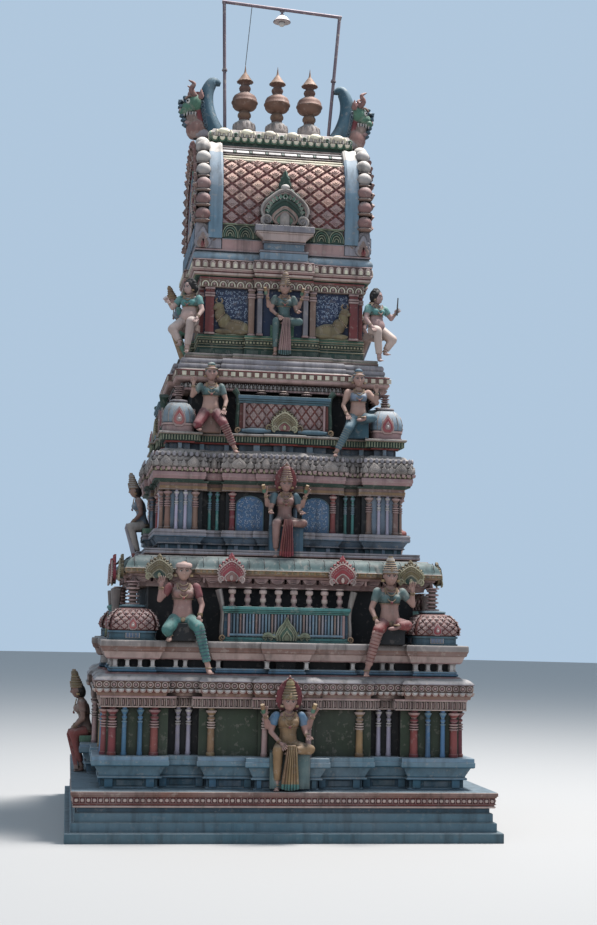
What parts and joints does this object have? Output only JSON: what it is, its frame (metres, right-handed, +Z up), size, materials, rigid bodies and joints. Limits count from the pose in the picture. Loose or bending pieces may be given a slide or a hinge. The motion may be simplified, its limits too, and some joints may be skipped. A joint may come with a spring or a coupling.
{
  "type": "gopuram, small painted temple tower",
  "caption": "Small painted temple tower of plastered masonry: stepped storeys with pilasters, eaves and seated figures under a barrel-vaulted roof with finials and a lamp frame.",
  "frame": {"origin": "centre of the plinth's underside, on the ground", "axes": "+Z up, the tower's tallest direction; the front with the goddess of the picture faces -Y; +X to the viewer's right"},
  "size_m": [4.6, 4.5, 9.9609],
  "materials": {
    "teal_plaster": "painted lime plaster, chalky and weathered",
    "blue_grey_plaster": "painted lime plaster, chalky and weathered",
    "olive_plaster": "painted lime plaster, dark olive",
    "red_plaster": "painted plaster columns, dark red with blue and ochre ones",
    "mauve_plaster": "bare and faded plaster, mauve grey",
    "ochre_plaster": "painted plaster, ochre edge over pink",
    "pink_plaster": "painted plaster, faded pink",
    "green_plaster": "painted lime plaster, dark green",
    "tile_plaster": "moulded plaster lozenges, cream pink in red-brown ribs",
    "pale_green_plaster": "painted plaster petals, cream and green",
    "aged_copper": "aged copper-brown finials, dull",
    "painted_pipe": "painted steel pipe, mauve grey, a little rust",
    "enamel": "grey enamelled steel shade",
    "wire_sheath": "thin dark sheathed wire",
    "figure_paint": "painted stucco figures, skin tones with green, blue and red dress"
  },
  "bodies": {
    "root": {"plinth": "teal_plaster", "storey1_base": "blue_grey_plaster", "storey1_wall": "olive_plaster", "storey1_pilasters": "red_plaster", "storey1_eave": "mauve_plaster", "storey1_ledge": "ochre_plaster", "storey1_parapet": "pink_plaster", "storey1_crown": "teal_plaster", "storey2_floor": "pink_plaster", "storey2_base": "blue_grey_plaster", "storey2_wall": "olive_plaster", "storey2_pilasters": "red_plaster", "storey2_eave": "mauve_plaster", "storey2_ledge": "ochre_plaster", "storey2_parapet": "blue_grey_plaster", "storey2_crown": "pink_plaster", "storey3_base": "green_plaster", "storey3_wall": "green_plaster", "storey3_pilasters": "red_plaster", "storey3_cornice": "pink_plaster", "roof_seat": "blue_grey_plaster", "roof_vault": "tile_plaster", "roof_arch_front": "mauve_plaster", "roof_arch_back": "mauve_plaster", "roof_gable_left": "mauve_plaster", "roof_gable_right": "mauve_plaster", "roof_ridge": "pale_green_plaster", "ridge_beast_left": "blue_grey_plaster", "ridge_beast_right": "blue_grey_plaster", "kalasam_left": "aged_copper", "kalasam_middle": "aged_copper", "kalasam_right": "aged_copper", "lamp_post_left": "painted_pipe", "lamp_post_right": "painted_pipe", "lamp_crossbar": "painted_pipe", "lamp": "enamel", "lamp_wire": "wire_sheath", "goddess1_front": "figure_paint", "goddess1_right": "figure_paint", "goddess1_back": "figure_paint", "goddess1_left": "figure_paint", "goddess2_front": "figure_paint", "goddess2_right": "figure_paint", "goddess2_back": "figure_paint", "goddess2_left": "figure_paint", "goddess3_front": "figure_paint", "goddess3_right": "figure_paint", "goddess3_back": "figure_paint", "goddess3_left": "figure_paint", "guardian1_left": "figure_paint", "guardian1_right": "figure_paint", "guardian2_left": "figure_paint", "guardian2_right": "figure_paint", "attendant_left": "figure_paint", "attendant_right": "figure_paint"}
  },
  "joints": []
}
